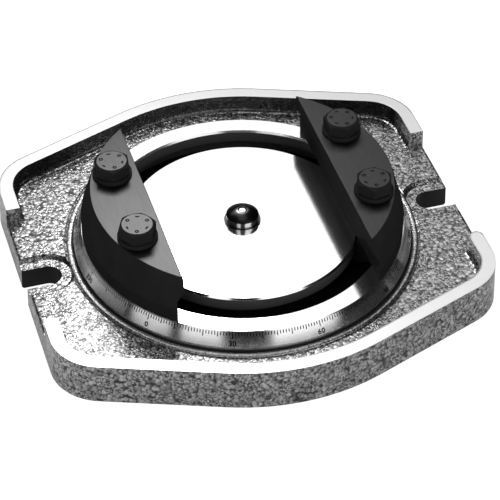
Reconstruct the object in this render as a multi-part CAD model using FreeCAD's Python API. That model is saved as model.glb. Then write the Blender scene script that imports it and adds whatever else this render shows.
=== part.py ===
import FreeCAD, Part
import math
import os

# Swivel base for a machine vice: a cast plate with two U-slots, a graduated ring that turns
# round a fixed centre disc, and two clamp segments that run round the T-slot between them.
# Millimetres.  Origin: on the swivel axis, in the plane of the casting's feet.  +Z is up.
# +X runs through the two U-slots; the segments' gripping edges are parallel to Y.

V = FreeCAD.Vector
UP = V(0, 0, 1)

# ---- driving dimensions -------------------------------------------------------------------
RING_TOP_Z = 29.5            # ground top of ring and disc above the feet
RING_TOP_R = 103.5           # outer radius of the ring's flat top
CONE_FOOT_R = 108.2          # graduated cone: outer radius at its foot
CONE_FOOT_Z = 20.4
MOUTH_EDGE_IN_R = 73.6       # edge of the disc's flat top
MOUTH_EDGE_OUT_R = 91.9      # inner edge of the ring's flat top
MOUTH_CHAMFER = 1.15         # 45 degree chamfers down into the slot
SLOT_IN_R = MOUTH_EDGE_IN_R + MOUTH_CHAMFER     # annular T-slot, 16 mm mouth
SLOT_OUT_R = MOUTH_EDGE_OUT_R - MOUTH_CHAMFER
SLOT_LIP = 8.5               # thickness of both T-slot lips
CHANNEL_IN_R = 68.1          # annular T-slot, wide part
CHANNEL_OUT_R = 97.4
CHANNEL_FLOOR_Z = 10.5
PAD_Z = 14.0                 # raised seat under the centre disc
PAD_R = 67.8
RUN = 0.05                   # radial running clearance
BELOW = -1.0                 # cutters start just below the feet
ABOVE = 40.0                 # and end above the casting

OUTLINE_ARC_R = 138.7        # plan outline: arcs front and back, about the axis
OUTLINE_SLOPE = 20.5         # slope of the straight edges beside the arcs, degrees
OUTLINE_HALF_X = 142.6       # flat sides
OUTLINE_CORNER_R = 33.0
WALL = 9.1                   # raised wall thickness at its top
WALL_TOP_Z = 29.0
WALL_GAP_HALF = 52.8         # no wall within this of the X axis, on either side
FLOOR_Z = 17.0
FLOOR_EDGE_R = 2.4           # rounded outer edge of the floor where there is no wall
SIDE_DRAFT = 1.0             # outward growth of the outline down to the feet
FOOT_BEVEL = 1.2
FLOOR_FILLET = 3.0
FOOT_LAND = 14.0             # width of the outer land under the casting
SLOT_LAND_HALF = 24.0        # half width of the land under each U-slot
RELIEF_DEPTH = 6.0

U_SLOT_X = 128.0             # centre of each U-slot's round end
U_SLOT_R = 8.75              # medium clearance for an M16 table stud
U_PAD_R = 15.0               # recessed flat for the stud's washer
U_PAD_Z = 14.6
U_PAD_SPREAD = 1.25          # outward lean of the recess's wall per unit of height

BOSS_IN_R = 108.9            # low cast bead round the ring
BOSS_OUT_R = 113.1
BOSS_FOOT_Z = 16.6
BOSS_TOP_Z = 17.8
BEAD_GROOVE_Z = 16.25        # shallow groove outside the bead
BEAD_GROOVE_R = 114.5
HUB_R = BOSS_OUT_R + 4.0      # solid metal round the seat, seen from below
PILOT_R = 107.0              # bored seat in which the ring turns
SEAL_STEP_Z = 15.0           # step in the bead for the rubber wiper
SEAL_TOP_Z = 16.6

SEG_TOP_Z = RING_TOP_Z + 31.0
SEG_TOP_R = 96.2             # outer radius of the segment at its top
SEG_LOW_R = 102.6            # and below its flare
SEG_FLARE_Z = RING_TOP_Z + 9.3
SEG_CHORD = 59.8             # gripping lip, from the axis
SEG_LOW_CHORD = 64.5         # undercut face below the lip
SEG_LIP = 8.5                # height of the lip's face
SEG_LIP_SLOPE = 60.0         # slope of the undercut, degrees
SEG_BEVEL = 0.4
SEG_GAP = 0.05               # segments ride just clear of the ring

BOLT_PCR = 82.75             # bolts stand over the middle of the T-slot
BOLT_ANGLE = 22.5            # each side of the X axis, degrees
BOLT_R = 7.0                 # M14 x 50
BOLT_HOLE_R = 7.75
BOLT_LENGTH = 50.0
BOLT_TIP_BEVEL = 1.2
BOLT_AF = 21.0               # across flats
BOLT_HEAD = 8.3
BOLT_CHAMFER_R = 9.5
BOLT_COLLAR = 0.6            # round washer face under the hexagon
MARK_RING_R = 6.9            # circle of small marks on the head
MARK_DEPTH = 0.35
WASHER_R = 12.5
WASHER_HOLE_R = 7.5
WASHER_T = 2.4

NUT_HALF_WIDTH = 13.0        # along the slot
NUT_HEAD = 9.0
NUT_FIT = 0.15               # nut clearance in the slot, each side
NUT_NECK_TOP_Z = 28.5

PIN_R = 10.4                 # locating pin
PIN_SHANK_R = 8.0
PIN_SHANK_Z = 9.6            # lower end of the shank, just above the counterbore's step
PIN_BORE_Z = 9.0
PIN_BORE_R = 12.5
PIN_SCREW_HEAD_Z = 2.4
PIN_WASHER_Z = 7.4
PRESS = 0.01                 # radial allowance between fitted parts

DISC_SCREW_PCR = 50.0        # M8 socket screws and 8 mm dowels hold the disc from below
DISC_SCREWS = 6
SCREW_R = 3.98
TAPPED_R = 4.0
SCREW_CLEAR_R = 4.5
SCREW_HEAD_R = 6.5
SCREW_HEAD_Z = 0.6
SCREW_SOCKET_AF = 6.0
SCREW_SOCKET_DEPTH = 3.6
COUNTERBORE_R = 7.0
COUNTERBORE_Z = 8.6
SCREW_TIP_Z = 24.6
SCREW_HOLE_Z = 26.0
DOWEL_R = 4.0
DOWEL_Z = (4.6, 22.4)
DOWEL_HOLE_Z = (4.0, 23.0)
DOWEL_BEVEL = 0.6


def revolve(points):
    """Full turn about Z of a closed (radius, height) polygon."""
    wire = Part.makePolygon([V(r, 0, z) for r, z in points + points[:1]])
    return Part.Face(wire).revolve(V(0, 0, 0), UP, 360)


def rod(r, z0, z1, x=0.0, y=0.0):
    return Part.makeCylinder(r, z1 - z0, V(x, y, z0), UP)


def block(x0, x1, y0, y1, z0, z1):
    return Part.makeBox(x1 - x0, y1 - y0, z1 - z0, V(x0, y0, z0))


def polar(r, degrees):
    a = math.radians(degrees)
    return r * math.cos(a), r * math.sin(a)


def outline(inset, z):
    """The casting's plan outline, moved inwards by inset, as a wire at height z."""
    arc_r = OUTLINE_ARC_R - inset
    corner_r = OUTLINE_CORNER_R - inset
    tilt = math.radians(90 - OUTLINE_SLOPE)
    cx = OUTLINE_HALF_X - OUTLINE_CORNER_R
    cy = (arc_r - corner_r - math.cos(tilt) * cx) / math.sin(tilt)

    def on_arc(a, sx, sy):
        return V(sx * arc_r * math.cos(a), sy * arc_r * math.sin(a), z)

    def on_corner(a, sx, sy):
        return V(sx * (cx + corner_r * math.cos(a)), sy * (cy + corner_r * math.sin(a)), z)

    edges = []
    for sx, sy in ((1, 1), (1, -1), (-1, -1), (-1, 1)):
        quarter = [
            Part.Arc(on_arc(math.pi / 2, sx, sy), on_arc((math.pi / 2 + tilt) / 2, sx, sy),
                     on_arc(tilt, sx, sy)).toShape(),
            Part.makeLine(on_arc(tilt, sx, sy), on_corner(tilt, sx, sy)),
            Part.Arc(on_corner(tilt, sx, sy), on_corner(tilt / 2, sx, sy),
                     on_corner(0, sx, sy)).toShape(),
            Part.makeLine(on_corner(0, sx, sy), V(sx * (cx + corner_r), 0, z)),
        ]
        edges += quarter
    return Part.Wire(Part.__sortEdges__(edges))


def prism(inset, z0, z1):
    """Straight-sided solid on the plan outline."""
    return Part.Face(outline(inset, z0)).extrude(V(0, 0, z1 - z0))


def tapered(inset0, z0, inset1, z1):
    """Solid between the outline at z0 and the outline at z1, with ruled sides."""
    return Part.makeLoft([outline(inset0, z0), outline(inset1, z1)], True, True)


def edges_at(shape, z, tol=0.01):
    """Edges lying wholly in the plane at height z."""
    return [e for e in shape.Edges
            if abs(e.BoundBox.ZMin - z) < tol and abs(e.BoundBox.ZMax - z) < tol]


def bolt_places(side):
    """The two bolt axes of one segment; side is +1 for +X, -1 for -X."""
    x, y = polar(BOLT_PCR, BOLT_ANGLE)
    return {"front": (side * x, -y), "back": (side * x, y)}


# ---- casting ------------------------------------------------------------------------------
def wall_gate(side):
    """Opening in the side wall.  Its front stub ends in a full round, its back stub is flat, and
    the floor's outer edge is rounded along it."""
    mid_x = OUTLINE_HALF_X - WALL / 2
    tip_y = -WALL_GAP_HALF - WALL / 2
    gate = block(mid_x - 4 * WALL, mid_x + 2 * WALL, -WALL_GAP_HALF, WALL_GAP_HALF,
                 FLOOR_Z, ABOVE)
    tip = block(mid_x - WALL, mid_x + WALL, tip_y, -WALL_GAP_HALF, FLOOR_Z, ABOVE)
    tip = tip.cut(rod(WALL / 2, BELOW, ABOVE + 1, mid_x, tip_y))

    round_z = FLOOR_Z - FLOOR_EDGE_R
    side_x = OUTLINE_HALF_X + SIDE_DRAFT * (WALL_TOP_Z - round_z) / (WALL_TOP_Z - FOOT_BEVEL)
    round_x = side_x - FLOOR_EDGE_R
    edge = block(round_x, side_x + 1, -WALL_GAP_HALF, WALL_GAP_HALF, round_z, FLOOR_Z)
    edge = edge.cut(Part.makeCylinder(FLOOR_EDGE_R, 2 * WALL_GAP_HALF + 2,
                                      V(round_x, -WALL_GAP_HALF - 1, round_z), V(0, 1, 0)))
    gate = gate.fuse(tip).fuse(edge)
    return gate if side > 0 else gate.mirror(V(0, 0, 0), V(1, 0, 0))


def casting_shell():
    """Plate and raised wall, drafted outwards to the feet, with the wall open at both sides."""
    body = tapered(FOOT_BEVEL - SIDE_DRAFT, 0, -SIDE_DRAFT, FOOT_BEVEL)
    body = body.fuse(tapered(-SIDE_DRAFT, FOOT_BEVEL, 0, WALL_TOP_Z))
    tray = tapered(WALL + SIDE_DRAFT, FLOOR_Z, WALL, WALL_TOP_Z)
    tray = tray.makeFillet(FLOOR_FILLET, edges_at(tray, FLOOR_Z))
    tray = tray.fuse(prism(WALL, WALL_TOP_Z, ABOVE))
    body = body.cut(tray)
    for side in (1, -1):
        body = body.cut(wall_gate(side))
    return body


def collar():
    """Low round-topped bead that holds the ring, standing just above the floor."""
    inner, root_z, steps = PAD_R - 10, U_PAD_Z - 2, 12
    middle, half = (BOSS_IN_R + BOSS_OUT_R) / 2, (BOSS_OUT_R - BOSS_IN_R) / 2
    crown = []
    for i in range(steps + 1):
        a = math.pi * (1 - i / steps)
        crown.append((middle + half * math.cos(a),
                      BOSS_FOOT_Z + (BOSS_TOP_Z - BOSS_FOOT_Z) * math.sin(a)))
    return revolve([(inner, root_z), (inner, BOSS_FOOT_Z)] + crown + [(BOSS_OUT_R, root_z)])


def bead_groove():
    """Cutter for the groove that sets the bead off from the floor."""
    overlap, flank_w, toe_w, toe_rise = 0.3, 1.4, 0.6, 0.3
    inner, above = BOSS_OUT_R - overlap, FLOOR_Z + 0.1
    return revolve([(inner, BEAD_GROOVE_Z), (BEAD_GROOVE_R - flank_w, BEAD_GROOVE_Z),
                    (BEAD_GROOVE_R - toe_w, BEAD_GROOVE_Z + toe_rise),
                    (BEAD_GROOVE_R, FLOOR_Z), (BEAD_GROOVE_R, above), (inner, above)])


def u_slot(side):
    """Cutter for one U-slot: a round end and a straight run out through the side."""
    near, far = sorted((side * U_SLOT_X, side * (OUTLINE_HALF_X + WALL)))
    run = block(near, far, -U_SLOT_R, U_SLOT_R, BELOW, ABOVE)
    return rod(U_SLOT_R, BELOW, ABOVE, side * U_SLOT_X).fuse(run)


def u_recess(side):
    """Cutter for the washer's flat round one U-slot, its wall leaning outwards."""
    rise = FLOOR_Z + 1 - U_PAD_Z
    high_r = U_PAD_R + U_PAD_SPREAD * rise
    x = side * U_SLOT_X
    bowl = Part.makeCone(U_PAD_R, high_r, rise, V(x, 0, U_PAD_Z), UP)
    section = [V(x, -U_PAD_R, U_PAD_Z), V(x, U_PAD_R, U_PAD_Z),
               V(x, high_r, U_PAD_Z + rise), V(x, -high_r, U_PAD_Z + rise)]
    face = Part.Face(Part.makePolygon(section + section[:1]))
    return bowl.fuse(face.extrude(V(side * (OUTLINE_HALF_X + WALL - U_SLOT_X), 0, 0)))


def underside_pockets():
    """Relief between the feet: outer land, round land under the ring, lands at the slots."""
    pockets = prism(FOOT_LAND, BELOW, RELIEF_DEPTH)
    pockets = pockets.cut(rod(HUB_R, 2 * BELOW, ABOVE))
    for side in (1, -1):
        near, far = sorted((side * PAD_R, side * (OUTLINE_HALF_X + FOOT_LAND)))
        land = block(near, far, -SLOT_LAND_HALF, SLOT_LAND_HALF, 2 * BELOW, ABOVE)
        pockets = pockets.cut(land)
    return pockets


def disc_screw_places():
    return [polar(DISC_SCREW_PCR, 30 + 60 * i) for i in range(DISC_SCREWS)]


def disc_dowel_places():
    return [polar(DISC_SCREW_PCR, a) for a in (0, 180)]


def base_casting():
    body = casting_shell()
    for side in (1, -1):
        body = body.cut(u_recess(side))
    body = body.cut(bead_groove()).fuse(collar())
    body = body.cut(revolve([(0, PAD_Z), (0, ABOVE), (BOSS_IN_R, ABOVE),
                             (BOSS_IN_R, SEAL_STEP_Z), (PILOT_R, SEAL_STEP_Z - 0.6),
                             (PILOT_R, CHANNEL_FLOOR_Z), (PAD_R, CHANNEL_FLOOR_Z),
                             (PAD_R, PAD_Z)]))
    for side in (1, -1):
        body = body.cut(u_slot(side))
    body = body.cut(underside_pockets())
    for x, y in disc_screw_places():
        body = body.cut(rod(SCREW_CLEAR_R, BELOW, ABOVE, x, y))
        body = body.cut(rod(COUNTERBORE_R, BELOW, COUNTERBORE_Z, x, y))
    for x, y in disc_dowel_places():
        body = body.cut(rod(DOWEL_R + PRESS, DOWEL_HOLE_Z[0], ABOVE, x, y))
    body = body.cut(rod(PIN_SHANK_R + PRESS, BELOW, ABOVE))
    body = body.cut(rod(PIN_BORE_R, BELOW, PIN_BORE_Z))
    return body.removeSplitter()


# ---- centre disc and its fasteners ----------------------------------------------------------
def center_disc():
    """Fixed disc: inner lip of the T-slot, bored for the pin, tapped from below."""
    lip_z = RING_TOP_Z - SLOT_LIP
    disc = revolve([(PIN_SHANK_R + PRESS, PAD_Z), (CHANNEL_IN_R, PAD_Z),
                    (CHANNEL_IN_R, lip_z), (SLOT_IN_R, lip_z),
                    (SLOT_IN_R, RING_TOP_Z - MOUTH_CHAMFER), (MOUTH_EDGE_IN_R, RING_TOP_Z),
                    (PIN_SHANK_R + PRESS, RING_TOP_Z)])
    for x, y in disc_screw_places():
        disc = disc.cut(rod(TAPPED_R, BELOW, SCREW_HOLE_Z, x, y))
    for x, y in disc_dowel_places():
        disc = disc.cut(rod(DOWEL_R + PRESS, BELOW, DOWEL_HOLE_Z[1], x, y))
    return disc


def hexagon_prism(af, z0, z1, x=0.0, y=0.0):
    corner_r = af / math.sqrt(3)
    points = [V(x + corner_r * math.cos(math.radians(60 * i)),
                y + corner_r * math.sin(math.radians(60 * i)), z0) for i in range(7)]
    return Part.Face(Part.makePolygon(points)).extrude(V(0, 0, z1 - z0))


def cap_screw(x, y, head_z0, head_z1, tip_z):
    """M8 socket screw standing head down."""
    screw = rod(SCREW_HEAD_R, head_z0, head_z1, x, y)
    screw = screw.fuse(rod(SCREW_R, head_z1, tip_z, x, y))
    socket = hexagon_prism(SCREW_SOCKET_AF, head_z0 - 1, head_z0 + SCREW_SOCKET_DEPTH, x, y)
    return screw.cut(socket)


def disc_screws():
    return Part.makeCompound([cap_screw(x, y, SCREW_HEAD_Z, COUNTERBORE_Z, SCREW_TIP_Z)
                              for x, y in disc_screw_places()])


def disc_dowels():
    z0, z1 = DOWEL_Z
    dowels = []
    for x, y in disc_dowel_places():
        dowel = rod(DOWEL_R, z0, z1, x, y)
        dowels.append(dowel.makeChamfer(DOWEL_BEVEL, edges_at(dowel, z0) + edges_at(dowel, z1)))
    return Part.makeCompound(dowels)


def center_pin():
    """Locating pin: thin collar, cylinder, domed top with a flat-bottomed centre recess."""
    collar_r, collar_t, break_edge = 11.7, 1.1, 0.2
    dome_r, dome_top, crown_r = 16.0, 8.9, 2.9
    recess_r, recess_z = 2.4, 8.1
    tip_bevel, screw_depth = 0.6, 22.5
    z0 = RING_TOP_Z
    crown = []
    steps = 14
    for i in range(steps + 1):
        r = PIN_R + (crown_r - PIN_R) * i / steps
        crown.append((r, z0 + dome_top - dome_r + math.sqrt(dome_r ** 2 - r ** 2)))
    dimple = [(recess_r, z0 + recess_z), (0, z0 + recess_z)]
    profile = [(0, PIN_SHANK_Z), (PIN_SHANK_R - tip_bevel, PIN_SHANK_Z),
               (PIN_SHANK_R, PIN_SHANK_Z + tip_bevel), (PIN_SHANK_R, z0),
               (collar_r - break_edge, z0), (collar_r, z0 + break_edge),
               (collar_r, z0 + collar_t - break_edge),
               (collar_r - break_edge, z0 + collar_t), (PIN_R, z0 + collar_t)]
    return revolve(profile + crown + dimple).cut(rod(TAPPED_R, BELOW, screw_depth))


def center_pin_washer():
    washer = rod(PIN_BORE_R - 1.0, PIN_WASHER_Z, PIN_BORE_Z)
    return washer.cut(rod(SCREW_CLEAR_R, BELOW, ABOVE))


def center_pin_screw():
    tip_z = 21.0
    return cap_screw(0, 0, PIN_SCREW_HEAD_Z, PIN_WASHER_Z, tip_z)


# ---- graduated ring and its seal -------------------------------------------------------------
def scale_ring():
    """Turned ring: outer lip of the T-slot, graduated cone, thin foot flange, pilot."""
    turn_r = PILOT_R - RUN
    flange_r = CONE_FOOT_R - 0.2
    flange_z0, flange_z1, groove_r = 18.5, 19.3, 106.2
    land_z = CONE_FOOT_Z - 0.3
    break_edge, top_break = 0.3, 0.6
    lip_z = RING_TOP_Z - SLOT_LIP
    return revolve([(CHANNEL_OUT_R, CHANNEL_FLOOR_Z), (turn_r, CHANNEL_FLOOR_Z),
                    (turn_r, flange_z0), (flange_r - break_edge, flange_z0),
                    (flange_r, flange_z0 + break_edge), (flange_r, flange_z1),
                    (groove_r, flange_z1), (groove_r, land_z), (CONE_FOOT_R, land_z),
                    (CONE_FOOT_R, CONE_FOOT_Z), (RING_TOP_R, RING_TOP_Z - top_break),
                    (RING_TOP_R - top_break, RING_TOP_Z), (MOUTH_EDGE_OUT_R, RING_TOP_Z),
                    (SLOT_OUT_R, RING_TOP_Z - MOUTH_CHAMFER), (SLOT_OUT_R, lip_z),
                    (CHANNEL_OUT_R, lip_z)])


def ring_seal():
    """Rubber wiper in the step of the bead, under the ring's foot flange."""
    inner, outer, lean = PILOT_R + 3 * RUN, BOSS_IN_R - RUN, 0.6
    return revolve([(inner, SEAL_STEP_Z), (outer, SEAL_STEP_Z), (outer, SEAL_TOP_Z - lean),
                    (outer - lean, SEAL_TOP_Z), (inner, SEAL_TOP_Z)])


# ---- clamp segments, bolts, washers, T-nuts ---------------------------------------------------
def clamp_segment(side):
    """Segment of a turned ring: flared outside, overhanging lip with a sloped undercut."""
    z0 = RING_TOP_Z + SEG_GAP
    flank_top = SEG_TOP_Z - SEG_LIP
    undercut = SEG_LOW_CHORD - SEG_CHORD
    flank_foot = flank_top - undercut * math.tan(math.radians(SEG_LIP_SLOPE))
    bevel = SEG_BEVEL
    turned = revolve([(0, z0), (SEG_LOW_R, z0), (SEG_LOW_R, SEG_FLARE_Z),
                      (SEG_TOP_R, SEG_TOP_Z - bevel), (SEG_TOP_R - bevel, SEG_TOP_Z),
                      (0, SEG_TOP_Z)])
    reach = SEG_LOW_R + 5
    low, high = z0 - 1, SEG_TOP_Z + 1
    section = [(SEG_LOW_CHORD, low), (reach, low), (reach, high), (SEG_CHORD + bevel, high),
               (SEG_CHORD + bevel, SEG_TOP_Z), (SEG_CHORD, SEG_TOP_Z - bevel),
               (SEG_CHORD, flank_top), (SEG_LOW_CHORD, flank_foot)]
    wire = Part.makePolygon([V(side * x, -reach, z) for x, z in section + section[:1]])
    segment = turned.common(Part.Face(wire).extrude(V(0, 2 * reach, 0)))
    for x, y in bolt_places(side).values():
        segment = segment.cut(rod(BOLT_HOLE_R, low, high, x, y))
    return segment


def washers(side):
    bevel = 0.5
    top_z = SEG_TOP_Z + WASHER_T
    rings = []
    for x, y in bolt_places(side).values():
        ring = rod(WASHER_R, SEG_TOP_Z, top_z, x, y)
        ring = ring.makeChamfer(bevel, edges_at(ring, top_z))
        rings.append(ring.cut(rod(WASHER_HOLE_R, SEG_TOP_Z - 1, top_z + 1, x, y)))
    return Part.makeCompound(rings)


def head_marks(top_z):
    """Cutters for six shallow plain marks round the head's top: rings and short bars in turn."""
    first_angle, bar_half_length, bar_half_width = 10, 1.2, 0.5
    dot_r, dot_core_r = 1.25, 0.55
    z0, z1 = top_z - MARK_DEPTH, top_z + 1
    marks = []
    for i in range(6):
        angle = first_angle + 60 * i
        x, y = polar(MARK_RING_R, angle)
        if i % 2:
            mark = block(-bar_half_length, bar_half_length, -bar_half_width, bar_half_width,
                         z0, z1)
            mark.rotate(V(0, 0, 0), UP, angle + 90)
            mark.translate(V(x, y, 0))
        else:
            mark = rod(dot_r, z0, z1, x, y).cut(rod(dot_core_r, z0 - 1, z1 + 1, x, y))
        marks.append(mark)
    return marks


def clamp_bolt(x, y, turn):
    """M14 hexagon bolt, its head standing on the washer, turned by some degrees."""
    z0 = SEG_TOP_Z + WASHER_T
    z1 = z0 + BOLT_HEAD
    outer_r = BOLT_AF / math.sqrt(3) + 0.1
    drop = (outer_r - BOLT_CHAMFER_R) * math.tan(math.radians(30))
    turned = revolve([(0, z0), (outer_r, z0), (outer_r, z1 - drop), (BOLT_CHAMFER_R, z1),
                      (0, z1)])
    bolt = hexagon_prism(BOLT_AF, z0 + BOLT_COLLAR, z1).common(turned)
    bolt = bolt.fuse(rod(BOLT_AF / 2 - 0.3, z0, z0 + BOLT_COLLAR))
    tip = z0 - BOLT_LENGTH
    shank = rod(BOLT_R, tip, z0 + 1)
    shank = shank.makeChamfer(BOLT_TIP_BEVEL, edges_at(shank, tip))
    bolt = bolt.fuse(shank)
    for mark in head_marks(z1):
        bolt = bolt.cut(mark)
    bolt.rotate(V(0, 0, 0), UP, turn)
    bolt.translate(V(x, y, 0))
    return bolt


def t_nut(x, y):
    """Curved T-nut: neck in the slot's mouth, head up against both lips, tapped through."""
    lip_z = RING_TOP_Z - SLOT_LIP - RUN
    nut = revolve([(CHANNEL_IN_R + NUT_FIT, lip_z - NUT_HEAD),
                   (CHANNEL_OUT_R - NUT_FIT, lip_z - NUT_HEAD),
                   (CHANNEL_OUT_R - NUT_FIT, lip_z), (SLOT_OUT_R - NUT_FIT, lip_z),
                   (SLOT_OUT_R - NUT_FIT, NUT_NECK_TOP_Z), (SLOT_IN_R + NUT_FIT, NUT_NECK_TOP_Z),
                   (SLOT_IN_R + NUT_FIT, lip_z), (CHANNEL_IN_R + NUT_FIT, lip_z)])
    sector = block(PAD_R - 10, PILOT_R, -NUT_HALF_WIDTH, NUT_HALF_WIDTH, 0, ABOVE)
    sector.rotate(V(0, 0, 0), UP, math.degrees(math.atan2(y, x)))
    return nut.common(sector).cut(rod(BOLT_R + RUN, 0, ABOVE, x, y))


# ---- write every piece ------------------------------------------------------------------------
def pieces():
    yield "base_casting", base_casting()
    yield "center_disc", center_disc()
    yield "disc_screws", disc_screws()
    yield "disc_dowels", disc_dowels()
    yield "center_pin", center_pin()
    yield "center_pin_washer", center_pin_washer()
    yield "center_pin_screw", center_pin_screw()
    yield "scale_ring", scale_ring()
    yield "ring_seal", ring_seal()
    head_turn = {("left", "front"): 4, ("left", "back"): 22,
                 ("right", "front"): 12, ("right", "back"): 31}
    for name, side in (("left", -1), ("right", 1)):
        yield name + "_clamp_segment", clamp_segment(side)
        yield name + "_washers", washers(side)
        for place, (x, y) in bolt_places(side).items():
            yield f"{name}_{place}_bolt", clamp_bolt(x, y, head_turn[name, place])
            yield f"{name}_{place}_t_nut", t_nut(x, y)


os.makedirs("parts", exist_ok=True)
for node, shape in pieces():
    shape.exportStep(f"parts/{node}.step")
    print(node, len(shape.Solids), "solids", round(shape.Volume), "mm3", shape.isValid())
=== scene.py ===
import math

import bmesh
import bpy
from mathutils import Matrix, Vector


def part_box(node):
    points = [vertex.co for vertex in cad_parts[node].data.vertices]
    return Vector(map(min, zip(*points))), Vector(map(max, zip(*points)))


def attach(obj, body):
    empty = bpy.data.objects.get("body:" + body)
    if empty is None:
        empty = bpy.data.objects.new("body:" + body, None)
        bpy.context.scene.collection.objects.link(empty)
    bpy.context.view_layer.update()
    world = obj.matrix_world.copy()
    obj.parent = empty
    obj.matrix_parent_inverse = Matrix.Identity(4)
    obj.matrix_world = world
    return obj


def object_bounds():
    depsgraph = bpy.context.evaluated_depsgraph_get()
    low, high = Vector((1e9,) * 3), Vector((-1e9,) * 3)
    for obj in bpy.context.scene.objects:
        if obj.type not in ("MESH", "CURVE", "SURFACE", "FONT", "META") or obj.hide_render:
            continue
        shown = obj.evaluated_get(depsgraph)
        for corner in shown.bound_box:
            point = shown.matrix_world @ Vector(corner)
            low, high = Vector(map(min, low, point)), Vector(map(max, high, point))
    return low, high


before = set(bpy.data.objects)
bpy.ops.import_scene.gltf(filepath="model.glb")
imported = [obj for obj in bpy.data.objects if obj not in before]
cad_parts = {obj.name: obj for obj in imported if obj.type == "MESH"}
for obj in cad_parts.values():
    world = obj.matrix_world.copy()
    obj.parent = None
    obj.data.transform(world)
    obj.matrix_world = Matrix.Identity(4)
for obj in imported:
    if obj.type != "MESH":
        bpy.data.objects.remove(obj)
CAD_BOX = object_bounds()

MM = 0.001
SIDES = ("left", "right")
PLACES = ("front", "back")

# ---- places and sizes, from the frame and the drawing -----------------------------------------
CAST_LOW, CAST_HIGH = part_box("base_casting")
RING_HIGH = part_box("scale_ring")[1]
SEG_TOP_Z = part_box("left_clamp_segment")[1].z
BOLT_TOP_Z = CAD_BOX[1].z
PIN_TOP_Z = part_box("center_pin")[1].z
SEAT_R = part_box("ring_seal")[1].x

TOP_Z = RING_HIGH.z
CONE_WIDTH, CONE_DROP, CONE_EDGE = 4.7 * MM, 9.1 * MM, 0.6 * MM
CONE_FOOT_R = RING_HIGH.x
CONE_TOP_R = CONE_FOOT_R - CONE_WIDTH
CONE_TOP_Z = TOP_Z - CONE_EDGE
CONE_FOOT_Z = TOP_Z - CONE_DROP
SLOT_INSIDE_Z = TOP_Z - 1.15 * MM   # below this the T-slot's walls are dark with painted shade
BEAD_R = 113.3 * MM
BEAD_FOOT_Z = 16.5 * MM
SEAT_LOW_Z = 5.0 * MM
U_SLOT_X = 128.0 * MM
U_SLOT_R = 8.75 * MM

# ---- looks ------------------------------------------------------------------------------------
BIG_CELLS, SMALL_CELLS = 400.0, 760.0  # cells a metre in the hammered paint
CELL_SMOOTHNESS = 0.3
HAMMER_DRIFT = 0.0022         # how far the cells wander, metres
HAMMER_DEPTH = 0.22 * MM
OXIDE_SHEEN = 0.003           # share of light the blackened steel mirrors
SEGMENT_SHADE = 0.056         # brightness of the blackened flat tops
BOLT_SHADE = 0.054
EDGE_SHADE_RADIUS = 1.9 * MM     # width of the painted shade line along the back edges of the wall's ground top
RECESS_R = 1.85 * MM          # painted highlight flat in the pin's dome, and the painted shade rim round it
RECESS_RIM_R = 2.9 * MM
FLOOR_GLOW_SEEN = 0.93
FLOOR_GLOW_REFLECTED = 0.28
FLOOR_GAP = 0.2 * MM          # floor just below the feet
FLOOR_HALF = 6.0
KEY_PLACE = (0.01, 0.26, 0.36)
KEY_AIM = (-0.09, -0.05, 0.05)
KEY_WIDTH, KEY_HEIGHT = 0.16, 0.12
KEY_POWER = 0.56
CAMERA_YAW = math.radians(17.1)
CAMERA_ELEVATION = math.radians(41.63)
CAMERA_ROLL = math.radians(0.26)
CAMERA_PLACE = (-2.921, -9.658, 8.717)  # from the middle of the disc, in ring radii
CAMERA_LENS = 155.5


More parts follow.
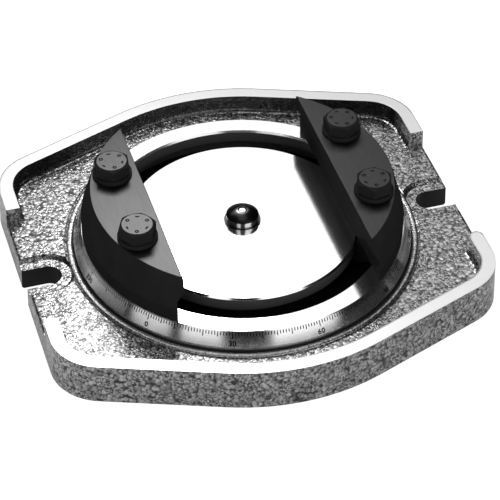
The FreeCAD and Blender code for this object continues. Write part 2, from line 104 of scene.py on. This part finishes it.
# ---- small helpers ----------------------------------------------------------------------------
class Graph:
    """A material's or world's node tree, with short calls for the nodes used here."""

    def __init__(self, owner):
        owner.use_nodes = True
        self.tree = owner.node_tree
        self.tree.nodes.clear()

    def node(self, kind, **settings):
        made = self.tree.nodes.new(kind)
        for key, value in settings.items():
            setattr(made, key, value)
        return made

    def feed(self, socket, value):
        """Link an output to a socket, or set the socket's own value."""
        if hasattr(value, "is_linked"):
            self.tree.links.new(value, socket)
        else:
            socket.default_value = value

    def math(self, operation, a, b=0.0):
        made = self.node("ShaderNodeMath", operation=operation)
        self.feed(made.inputs[0], a)
        self.feed(made.inputs[1], b)
        return made.outputs[0]

    def wrap(self, angle):
        """An angle brought into the half turn each side of zero."""
        made = self.node("ShaderNodeMath", operation="WRAP")
        self.feed(made.inputs[0], angle)
        made.inputs[1].default_value = -math.pi
        made.inputs[2].default_value = math.pi
        return made.outputs[0]

    def vector_math(self, operation, a, b):
        made = self.node("ShaderNodeVectorMath", operation=operation)
        self.feed(made.inputs[0], a)
        self.feed(made.inputs["Scale" if operation == "SCALE" else 1], b)
        return made.outputs[0]

    def step(self, value, low, high):
        """0 below low, 1 above high, smooth between; low may be above high to turn it round."""
        made = self.node("ShaderNodeMapRange", interpolation_type="SMOOTHSTEP")
        self.feed(made.inputs["Value"], value)
        flip = low > high
        made.inputs["From Min"].default_value = min(low, high)
        made.inputs["From Max"].default_value = max(low, high)
        made.inputs["To Min"].default_value = 1.0 if flip else 0.0
        made.inputs["To Max"].default_value = 0.0 if flip else 1.0
        return made.outputs["Result"]

    def mix(self, share, a, b):
        made = self.node("ShaderNodeMix", data_type="RGBA")
        self.feed(made.inputs[0], share)
        for socket, value in ((made.inputs[6], a), (made.inputs[7], b)):
            self.feed(socket, (value,) * 3 + (1.0,) if isinstance(value, float) else value)
        return made.outputs[2]

    def blend(self, share, a, b):
        """Plain number between a and b."""
        made = self.node("ShaderNodeMix", data_type="FLOAT")
        self.feed(made.inputs[0], share)
        self.feed(made.inputs[2], a)
        self.feed(made.inputs[3], b)
        return made.outputs[0]

    def noise(self, vector, scale, detail=2.0, roughness=0.5, distortion=0.0):
        made = self.node("ShaderNodeTexNoise")
        self.feed(made.inputs["Vector"], vector)
        made.inputs["Scale"].default_value = scale
        made.inputs["Detail"].default_value = detail
        made.inputs["Roughness"].default_value = roughness
        made.inputs["Distortion"].default_value = distortion
        return made.outputs["Fac"]

    def voronoi(self, vector, scale):
        """Distance from the middle of the nearest cell."""
        made = self.node("ShaderNodeTexVoronoi", feature="SMOOTH_F1")
        self.feed(made.inputs["Vector"], vector)
        made.inputs["Scale"].default_value = scale
        made.inputs["Smoothness"].default_value = CELL_SMOOTHNESS
        return made.outputs["Distance"]

    def voronoi_shade(self, vector, scale):
        """One random number for each cell."""
        made = self.node("ShaderNodeTexVoronoi")
        self.feed(made.inputs["Vector"], vector)
        made.inputs["Scale"].default_value = scale
        return self.split(made.outputs["Color"])[0]

    def noise_vector(self, vector, scale):
        """Three independent noises round zero."""
        made = self.node("ShaderNodeTexNoise")
        self.feed(made.inputs["Vector"], vector)
        made.inputs["Scale"].default_value = scale
        return self.vector_math("SUBTRACT", made.outputs["Color"], (0.5, 0.5, 0.5))

    def soft_edge(self, radius):
        """Surface normal, rounded over sharp edges."""
        made = self.node("ShaderNodeBevel", samples=4)
        made.inputs["Radius"].default_value = radius
        return made.outputs[0]

    def shaders(self, share, a, b):
        made = self.node("ShaderNodeMixShader")
        self.feed(made.inputs[0], share)
        self.feed(made.inputs[1], a)
        self.feed(made.inputs[2], b)
        return made.outputs[0]

    def bump(self, height, depth, strength=1.0, normal=None):
        made = self.node("ShaderNodeBump")
        self.feed(made.inputs["Height"], height)
        made.inputs["Distance"].default_value = depth
        self.feed(made.inputs["Strength"], strength)
        if normal is not None:
            self.feed(made.inputs["Normal"], normal)
        return made.outputs["Normal"]

    def place(self):
        """Object-space position: the row frame, riding with the body."""
        return self.node("ShaderNodeTexCoord").outputs["Object"]

    def object_normal(self):
        return self.node("ShaderNodeTexCoord").outputs["Normal"]

    def split(self, vector):
        made = self.node("ShaderNodeSeparateXYZ")
        self.feed(made.inputs[0], vector)
        return made.outputs

    def radius(self, parts):
        squares = self.math("ADD", self.math("MULTIPLY", parts[0], parts[0]),
                            self.math("MULTIPLY", parts[1], parts[1]))
        return self.math("SQRT", squares)

    def principled(self, **values):
        made = self.node("ShaderNodeBsdfPrincipled")
        for key, value in values.items():
            name = key.replace("_", " ").title().replace("Ior", "IOR")
            if isinstance(value, float) and name.endswith("Color"):
                value = (value,) * 3 + (1.0,)
            self.feed(made.inputs[name], value)
        return made.outputs[0]

    def output(self, surface, kind="ShaderNodeOutputMaterial"):
        self.feed(self.node(kind).inputs["Surface"], surface)


def new_material(name):
    material = bpy.data.materials.new(name)
    return material, Graph(material)


def turned_tangent(g):
    """Tangent along the tool's circular path about the swivel axis."""
    return g.node("ShaderNodeTangent", direction_type="RADIAL", axis="Z").outputs[0]


def polar_coordinates(g, parts):
    """(angle, radius, height) as a vector, for marks that follow the turning."""
    angle = g.math("ARCTAN2", parts[1], parts[0])
    made = g.node("ShaderNodeCombineXYZ")
    g.feed(made.inputs[0], angle)
    g.feed(made.inputs[1], g.radius(parts))
    g.feed(made.inputs[2], parts[2])
    return made.outputs[0]


# ---- materials --------------------------------------------------------------------------------
def turning_marks(g, parts, pitch, shift=0.0):
    """Height field of fine concentric lines, uneven in depth, that follow radius and height."""
    polar = polar_coordinates(g, parts)
    squashed = g.vector_math("MULTIPLY", polar, (0.35, 1.0 / pitch, 1.0 / pitch))
    shifted = g.vector_math("ADD", squashed, (shift, shift, 0.0))
    return g.noise(shifted, 1.0, detail=3.0, roughness=0.65)


def hammertone_paint():
    """Glossy hammer-effect paint on the casting, with painted highlights on the cell crests and
    painted shade on the inner walls that face the front; bare ground steel on the wall's top with
    a painted shade line along its back edges; dark steel as painted shade in the bored seat and
    channel."""
    material, g = new_material("hammertone_paint")
    where = g.place()
    parts = g.split(where)
    normal_parts = g.split(g.object_normal())

    drift = g.vector_math("SCALE", g.noise_vector(where, 300.0), HAMMER_DRIFT)
    warped = g.vector_math("ADD", where, drift)
    fine = g.noise(where, 1500.0, detail=2.0, roughness=0.6)
    broad = g.noise(where, 90.0, detail=3.0)
    patch = g.step(g.noise(where, 160.0, detail=1.0), 0.46, 0.54)
    domes = g.blend(patch, g.voronoi(warped, BIG_CELLS), g.voronoi(warped, SMALL_CELLS))
    broken = g.math("MULTIPLY", g.noise(where, 420.0, detail=2.0), 0.5)
    crest_painted_highlight = g.step(g.math("ADD", domes, g.math("SUBTRACT", broken, 0.25)), 0.82, 0.35)
    cell_shade = g.blend(patch, g.voronoi_shade(warped, BIG_CELLS),
                         g.voronoi_shade(warped, SMALL_CELLS))
    height = g.math("ADD", g.math("MULTIPLY", domes, -1.0), g.math("MULTIPLY", fine, 0.22))
    height = g.math("ADD", height, g.math("MULTIPLY", broad, 0.9))
    # painted highlight: the cell crests take the cell's tone, the paint away from them is near
    # black (0.06)
    shade = g.mix(crest_painted_highlight, 0.06, g.mix(cell_shade, 0.22, 0.70))
    r = g.radius(parts)
    bead = g.math("MULTIPLY", g.step(r, BEAD_R + 0.1 * MM, BEAD_R - 0.1 * MM),
                  g.step(parts[2], BEAD_FOOT_Z, BEAD_FOOT_Z + 0.3 * MM))
    shade = g.mix(bead, shade, g.mix(fine, 0.42, 0.62))
    # painted shade: walls facing in towards the axis and to the front get a near black tone
    inner_wall_painted_shade = g.math("ADD", g.math("MULTIPLY", normal_parts[0], parts[0]),
                    g.math("MULTIPLY", normal_parts[1], parts[1]))
    inner_wall_painted_shade = g.step(g.math("DIVIDE", inner_wall_painted_shade, r), -0.35, -0.75)
    inner_wall_painted_shade = g.math("MULTIPLY", inner_wall_painted_shade, g.step(normal_parts[1], 0.0, -0.4))
    shade = g.mix(inner_wall_painted_shade, shade, g.mix(cell_shade, 0.03, 0.10))
    paint = g.principled(
        base_color=shade, metallic=0.95, roughness=g.blend(fine, 0.20, 0.32), coat_weight=0.25,
        coat_roughness=0.08, normal=g.bump(height, HAMMER_DEPTH, normal=g.soft_edge(0.5 * MM)))

    ground = g.math("MULTIPLY",
                    g.step(parts[2], CAST_HIGH.z - 0.12 * MM, CAST_HIGH.z - 0.04 * MM),
                    g.step(normal_parts[2], 0.90, 0.97))
    margin = g.split(g.soft_edge(EDGE_SHADE_RADIUS))
    # painted shade: a dark line on the ground top's edges that face away from the front
    back_edge_painted_shade = g.math("MULTIPLY", g.step(margin[2], 0.995, 0.965), g.step(margin[1], -0.05, 0.1))
    grind = g.noise(g.vector_math("MULTIPLY", where, (60.0, 1400.0, 60.0)), 1.0, detail=2.0)
    bare = g.principled(base_color=g.mix(back_edge_painted_shade, 0.87, 0.03), metallic=1.0,
                        roughness=g.blend(grind, 0.26, 0.36),
                        normal=g.bump(grind, 0.02 * MM, normal=g.soft_edge(0.3 * MM)))

    # painted shade: the bored seat and the U-slots' milled walls get near black steel
    bored = g.math("MULTIPLY", g.step(r, SEAT_R + 0.25 * MM, SEAT_R + 0.1 * MM),
                   g.step(parts[2], SEAT_LOW_Z, SEAT_LOW_Z + 1.0 * MM))
    across = g.math("ABSOLUTE", parts[1])
    outward = g.math("ABSOLUTE", parts[0])
    milled = g.math("MULTIPLY", g.step(across, U_SLOT_R + 0.35 * MM, U_SLOT_R + 0.2 * MM),
                    g.step(outward, U_SLOT_X - U_SLOT_R - 0.4 * MM,
                           U_SLOT_X - U_SLOT_R - 0.2 * MM))
    milled = g.math("MULTIPLY", milled, g.step(g.math("ABSOLUTE", normal_parts[2]), 0.5, 0.3))
    bored = g.math("MAXIMUM", bored, milled)
    turned = turning_marks(g, parts, 0.25 * MM)
    seat = g.principled(base_color=0.012, metallic=0.5, roughness=g.blend(turned, 0.35, 0.6),
                        normal=g.bump(turned, 0.03 * MM))
    surface = g.shaders(ground, paint, bare)
    g.output(g.shaders(bored, surface, seat))
    return material


def ground_disc_steel():
    """Bright turned top of the disc; the wall inside the T-slot is dark with painted shade."""
    material, g = new_material("ground_disc_steel")
    parts = g.split(g.place())
    turned = turning_marks(g, parts, 0.22 * MM)
    smear = g.noise(g.place(), 35.0, detail=4.0)
    bright = g.principled(
        base_color=g.mix(smear, 0.90, 0.96), metallic=1.0, roughness=g.blend(smear, 0.09, 0.14),
        normal=g.bump(turned, 0.006 * MM, normal=g.soft_edge(0.25 * MM)))
    # painted shade: dark steel for the walls inside the T-slot
    dark = g.principled(base_color=0.10, roughness=0.6, specular_ior_level=0.1,
                        normal=g.bump(turned, 0.03 * MM))
    slot_painted_shade = g.step(parts[2], SLOT_INSIDE_Z, SLOT_INSIDE_Z - 0.35 * MM)
    g.output(g.shaders(slot_painted_shade, bright, dark))
    return material


def ring_steel():
    """Ground flat top; the cone keeps its circular turning marks, which draw every reflection
    out into a band down the slope. Dark with painted shade inside the T-slot and under the cone."""
    material, g = new_material("ring_steel")
    parts = g.split(g.place())
    r = g.radius(parts)
    turned = turning_marks(g, parts, 0.16 * MM, 3.0)
    coarse = turning_marks(g, parts, 0.9 * MM, 7.0)
    stain = g.noise(g.place(), 45.0, detail=5.0)
    edge = g.soft_edge(0.15 * MM)
    flat = g.principled(
        base_color=g.mix(coarse, 0.88, 0.95), metallic=1.0, roughness=g.blend(stain, 0.10, 0.15),
        normal=g.bump(turned, 0.006 * MM, normal=edge))
    cone = g.principled(
        base_color=g.mix(coarse, 0.84, 0.95), metallic=1.0, roughness=g.blend(stain, 0.20, 0.25),
        anisotropic=0.96, anisotropic_rotation=0.25, tangent=turned_tangent(g),
        normal=g.bump(turned, 0.003 * MM, normal=edge))
    level = g.split(g.object_normal())[2]
    bright = g.shaders(g.step(level, 0.75, 0.9), cone, flat)
    # painted shade: dark steel for the ring's side of the T-slot
    dark = g.principled(base_color=0.10, roughness=0.6, specular_ior_level=0.1,
                        normal=g.bump(turned, 0.03 * MM))
    slot_side_painted_shade = g.math("MULTIPLY", g.step(parts[2], SLOT_INSIDE_Z, SLOT_INSIDE_Z - 0.35 * MM),
                       g.step(r, CONE_TOP_R - 1.0 * MM, CONE_TOP_R - 2.0 * MM))
    g.output(g.shaders(slot_side_painted_shade, bright, dark))
    return material


def black_oxide(name, top_z, top_shade):
    """Black-oxide steel, oiled; flat tops show a fine grey ground grain."""
    material, g = new_material(name)
    where = g.place()
    parts = g.split(where)
    normal_parts = g.split(g.object_normal())
    grain = g.noise(where, 1500.0, detail=3.0, roughness=0.7)
    drag = g.noise(g.vector_math("MULTIPLY", where, (900.0, 60.0, 60.0)), 1.0, detail=2.0)
    cloud = g.noise(where, 70.0, detail=3.0)
    edge = g.soft_edge(0.3 * MM)
    soot = g.principled(base_color=g.mix(cloud, 0.020, 0.034), roughness=0.9,
                        specular_ior_level=0.0)
    sheen = g.principled(base_color=0.9, metallic=1.0, roughness=g.blend(grain, 0.26, 0.36),
                         normal=g.bump(grain, 0.012 * MM, normal=edge))
    wall = g.shaders(OXIDE_SHEEN, soot, sheen)
    shade = g.mix(g.math("ADD", g.math("MULTIPLY", grain, 0.7), g.math("MULTIPLY", drag, 0.5)),
                  top_shade * 0.7, top_shade * 1.35)
    relief = g.math("ADD", grain, g.math("MULTIPLY", drag, 0.4))
    top = g.principled(base_color=shade, metallic=1.0, roughness=g.blend(grain, 0.30, 0.38),
                       normal=g.bump(relief, 0.02 * MM, normal=edge))
    share = g.math("MULTIPLY", g.step(normal_parts[2], 0.85, 0.97),
                   g.step(parts[2], top_z - 0.30 * MM, top_z - 0.1 * MM))
    g.output(g.shaders(share, wall, top))
    return material


def pin_steel():
    """Pin with a blackened dome, a painted highlight flat in the centre recess with a painted
    shade rim and a painted highlight ring round it, and polished turned sides.
    """
    material, g = new_material("pin_steel")
    parts = g.split(g.place())
    r = g.radius(parts)
    turned = turning_marks(g, parts, 0.12 * MM)
    edge = g.soft_edge(0.25 * MM)
    on_top = g.step(parts[2], PIN_TOP_Z - 1.2 * MM, PIN_TOP_Z - 0.8 * MM)
    # painted highlight in the centre recess, painted shade on the rim round it, painted highlight
    # ring beyond
    recess_painted_highlight = g.math("MULTIPLY", g.step(r, RECESS_R + 0.1 * MM, RECESS_R - 0.1 * MM), on_top)
    rim = g.math("MULTIPLY", g.step(r, RECESS_RIM_R + 0.1 * MM, RECESS_RIM_R - 0.1 * MM), on_top)
    ring_painted_highlight = g.step(r, 4.6 * MM, 3.4 * MM)
    dome_shade = g.mix(rim, g.mix(ring_painted_highlight, 0.07, 0.26), 0.01)
    dome = g.principled(base_color=dome_shade, metallic=1.0, roughness=g.blend(turned, 0.20, 0.28),
                        normal=g.bump(turned, 0.006 * MM, normal=edge))
    side = g.principled(base_color=0.60, metallic=1.0, roughness=0.24, anisotropic=0.95,
                        anisotropic_rotation=0.25, tangent=turned_tangent(g),
                        normal=g.bump(turned, 0.003 * MM, normal=edge))
    bright = g.principled(base_color=0.95, metallic=1.0, roughness=0.2,
                          normal=g.bump(turned, 0.004 * MM))
    level = g.split(g.object_normal())[2]
    body = g.shaders(g.step(level, 0.3, 0.6), side, dome)
    g.output(g.shaders(recess_painted_highlight, body, bright))
    return material


def seal_rubber():
    material, g = new_material("seal_rubber")
    dust = g.noise(g.place(), 700.0, detail=3.0)
    g.output(g.principled(base_color=g.mix(dust, 0.010, 0.03), roughness=g.blend(dust, 0.6, 0.85),
                          normal=g.bump(dust, 0.05 * MM)))
    return material


def scale_paint():
    """Black fill in the engraved lines and figures."""
    material, g = new_material("scale_paint")
    wear = g.noise(g.place(), 1200.0, detail=2.0)
    g.output(g.principled(base_color=g.mix(wear, 0.004, 0.015), specular_ior_level=0.05,
                          roughness=g.blend(wear, 0.45, 0.7)))
    return material


def floor_material():
    """White paper: nearly white to the camera, a softer grey in the object's own reflections."""
    material, g = new_material("pale_floor")
    mottle = g.noise(g.place(), 3.0, detail=2.0)
    paper = g.principled(base_color=g.mix(mottle, 0.60, 0.62), roughness=0.8,
                         specular_ior_level=0.0)
    glow = g.node("ShaderNodeEmission")
    direct = g.node("ShaderNodeLightPath").outputs["Is Camera Ray"]
    g.feed(glow.inputs["Strength"], g.blend(direct, FLOOR_GLOW_REFLECTED, FLOOR_GLOW_SEEN))
    both = g.node("ShaderNodeAddShader")
    g.feed(both.inputs[0], paper)
    g.feed(both.inputs[1], glow.outputs[0])
    g.output(both.outputs[0])
    return material


def paint_node(name, material):
    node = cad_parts[name]
    node.data.materials.clear()
    node.data.materials.append(material)


# ---- the degree scale on the ring's cone ------------------------------------------------------
def on_cone(angle, down, lift):
    """Point on the cone: angle about the axis, distance down the slope, height off the surface."""
    slope = Vector((CONE_FOOT_R - CONE_TOP_R, CONE_FOOT_Z - CONE_TOP_Z)).normalized()
    outward = Vector((-slope.y, slope.x))
    r = CONE_TOP_R + slope.x * down + outward.x * lift
    z = CONE_TOP_Z + slope.y * down + outward.y * lift
    return Vector((r * math.cos(angle), r * math.sin(angle), z))


SCALE_START = math.radians(-140.0)
LINE_WIDTH = 0.60 * MM
LINE_LENGTHS = {10: 3.9 * MM, 5: 3.1 * MM, 1: 2.3 * MM}
FIGURE_STEP = 30
FIGURE_HEIGHT = 3.1 * MM
FIGURE_DOWN = 7.3 * MM
INK_LIFT = 0.035 * MM
INK_SINK = -0.05 * MM


def scale_lines():
    """One line a degree, longer at five and ten degrees."""
    mesh = bmesh.new()
    for degree in range(360):
        length = next(LINE_LENGTHS[s] for s in (10, 5, 1) if degree % s == 0)
        middle = SCALE_START + math.radians(degree)
        half = LINE_WIDTH / 2 / CONE_TOP_R
        corners = [(middle - half, 0.15 * MM), (middle + half, 0.15 * MM),
                   (middle + half, length), (middle - half, length)]
        under = [mesh.verts.new(on_cone(a, d, INK_SINK)) for a, d in corners]
        over = [mesh.verts.new(on_cone(a, d, INK_LIFT)) for a, d in corners]
        mesh.faces.new(over)
        mesh.faces.new(under[::-1])
        for i in range(4):
            j = (i + 1) % 4
            mesh.faces.new((under[i], under[j], over[j], over[i]))
    return finish_piece(mesh, "scale_lines", "ring", scale_ink)


def figure_mesh(text):
    """Flat outline mesh of a number, centred on the origin, in metres."""
    curve = bpy.data.curves.new("figure", "FONT")
    curve.body = text
    curve.size = FIGURE_HEIGHT * 1.45
    curve.align_x = "CENTER"
    curve.align_y = "CENTER"
    curve.space_character = 1.08
    curve.offset = 0.12 * MM
    curve.extrude = (INK_LIFT - INK_SINK) / 2
    curve.resolution_u = 4
    holder = bpy.data.objects.new("figure", curve)
    bpy.context.scene.collection.objects.link(holder)
    bpy.context.view_layer.update()
    evaluated = holder.evaluated_get(bpy.context.evaluated_depsgraph_get())
    mesh = bpy.data.meshes.new_from_object(evaluated)
    bpy.data.objects.remove(holder)
    return mesh


def scale_figures():
    """Numbers every thirty degrees, upright to someone standing outside the ring."""
    joined = bmesh.new()
    for degree in range(0, 360, FIGURE_STEP):
        flat = figure_mesh(str(degree))
        middle = SCALE_START + math.radians(degree)
        part = bmesh.new()
        part.from_mesh(flat)
        for v in part.verts:
            across, up, out = v.co
            lift = INK_LIFT if out > 0 else INK_SINK
            v.co = on_cone(middle + across / CONE_TOP_R, FIGURE_DOWN - up, lift)
        part.to_mesh(flat)
        part.free()
        joined.from_mesh(flat)
        bpy.data.meshes.remove(flat)
    return finish_piece(joined, "scale_figures", "ring", scale_ink)


def finish_piece(mesh, name, body, material):
    """Turn a bmesh into an object that rides on a body."""
    bmesh.ops.remove_doubles(mesh, verts=mesh.verts, dist=1e-7)
    bmesh.ops.recalc_face_normals(mesh, faces=mesh.faces)
    data = bpy.data.meshes.new(name)
    mesh.to_mesh(data)
    mesh.free()
    piece = bpy.data.objects.new(name, data)
    bpy.context.scene.collection.objects.link(piece)
    data.materials.append(material)
    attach(piece, body)
    return piece


# ---- stage, light, camera ---------------------------------------------------------------------
def floor():
    mesh = bmesh.new()
    bmesh.ops.create_grid(mesh, x_segments=2, y_segments=2, size=FLOOR_HALF)
    data = bpy.data.meshes.new("floor")
    mesh.to_mesh(data)
    mesh.free()
    piece = bpy.data.objects.new("floor", data)
    bpy.context.scene.collection.objects.link(piece)
    piece.location.z = CAST_LOW.z - FLOOR_GAP
    data.materials.append(floor_material())


def area_light(name, place, aim, width, height, power):
    data = bpy.data.lights.new(name, "AREA")
    data.shape = "RECTANGLE"
    data.size = width
    data.size_y = height
    data.energy = power
    light = bpy.data.objects.new(name, data)
    bpy.context.scene.collection.objects.link(light)
    light.location = place
    light.rotation_mode = "QUATERNION"
    light.rotation_quaternion = (Vector(aim) - Vector(place)).to_track_quat("-Z", "Y")
    return light


# Soft boxes and cards as seen from the object: middle azimuth and elevation, half widths of both,
# all in degrees (azimuth from the camera's own sight line, positive to its left), and brightness.
BOXES = [
    (0.0, 90.0, 360.0, 17.0, 0.60),
    (14.0, 57.0, 36.0, 22.0, 1.60),
    (123.0, 12.0, 13.0, 12.0, 1.40),
    (155.5, 26.0, 12.5, 26.0, 1.50),
    (-140.0, 27.0, 21.0, 27.0, 1.90),
]
BOX_SOFTNESS = 0.18
WORLD_BASE = 0.02


def studio_world():
    """A dark studio with one wide soft box behind and above, and small cards in front."""
    world = bpy.data.worlds.new("studio")
    bpy.context.scene.world = world
    g = Graph(world)
    parts = g.split(g.node("ShaderNodeTexCoord").outputs["Generated"])
    bearing = g.math("ARCTAN2", parts[1], parts[0])
    bearing = g.math("SUBTRACT", bearing, math.pi / 2 - CAMERA_YAW)
    elevation = g.math("ARCSINE", parts[2])
    level = WORLD_BASE
    for azimuth, height, half_width, half_height, brightness in BOXES:
        sideways = g.math("SUBTRACT", bearing, math.radians(azimuth))
        sideways = g.math("ABSOLUTE", g.wrap(sideways))
        upward = g.math("ABSOLUTE", g.math("SUBTRACT", elevation, math.radians(height)))
        width, rise = math.radians(half_width), math.radians(half_height)
        inside = g.math("MULTIPLY",
                        g.step(sideways, width * (1 + BOX_SOFTNESS), width * (1 - BOX_SOFTNESS)),
                        g.step(upward, rise * (1 + BOX_SOFTNESS), rise * (1 - BOX_SOFTNESS)))
        level = g.math("MAXIMUM", level, g.math("MULTIPLY", inside, brightness))
    background = g.node("ShaderNodeBackground")
    g.feed(background.inputs["Strength"], level)
    g.output(background.outputs[0], "ShaderNodeOutputWorld")


def camera():
    """A long lens from the front left, well above the plate."""
    yaw, elevation, roll = CAMERA_YAW, CAMERA_ELEVATION, CAMERA_ROLL
    data = bpy.data.cameras.new("camera")
    data.sensor_width = 36.0
    data.lens = CAMERA_LENS
    data.clip_start, data.clip_end = 0.05, 50.0
    made = bpy.data.objects.new("camera", data)
    bpy.context.scene.collection.objects.link(made)
    made.location = Vector((0, 0, TOP_Z)) + CONE_TOP_R * Vector(CAMERA_PLACE)
    forward = Vector((math.sin(yaw) * math.cos(elevation), math.cos(yaw) * math.cos(elevation),
                      -math.sin(elevation)))
    level_right = forward.cross(Vector((0, 0, 1))).normalized()
    level_up = level_right.cross(forward)
    right = level_right * math.cos(roll) + level_up * math.sin(roll)
    up = right.cross(forward)
    made.rotation_mode = "QUATERNION"
    made.rotation_quaternion = Matrix((right, up, -forward)).transposed().to_quaternion()
    bpy.context.scene.camera = made


# ---- build ------------------------------------------------------------------------------------
scale_ink = scale_paint()
oxide = black_oxide("black_oxide", SEG_TOP_Z, SEGMENT_SHADE)
fastener = black_oxide("fastener_black", BOLT_TOP_Z, BOLT_SHADE)
hammertone = hammertone_paint()
disc_steel = ground_disc_steel()
ring_bright = ring_steel()
pin_black = pin_steel()
rubber = seal_rubber()

MATERIAL_OF = {
    "base_casting": hammertone, "center_disc": disc_steel, "scale_ring": ring_bright,
    "ring_seal": rubber, "center_pin": pin_black, "center_pin_washer": fastener,
    "center_pin_screw": fastener, "disc_screws": fastener, "disc_dowels": disc_steel,
}
for side in SIDES:
    MATERIAL_OF[f"{side}_clamp_segment"] = oxide
    MATERIAL_OF[f"{side}_washers"] = fastener
    for place in PLACES:
        MATERIAL_OF[f"{side}_{place}_bolt"] = fastener
        MATERIAL_OF[f"{side}_{place}_t_nut"] = oxide
for name, material in MATERIAL_OF.items():
    paint_node(name, material)

scale_lines()
scale_figures()
floor()
studio_world()
area_light("key", KEY_PLACE, KEY_AIM, KEY_WIDTH, KEY_HEIGHT, KEY_POWER)
camera()
bpy.context.scene.view_settings.view_transform = "Standard"
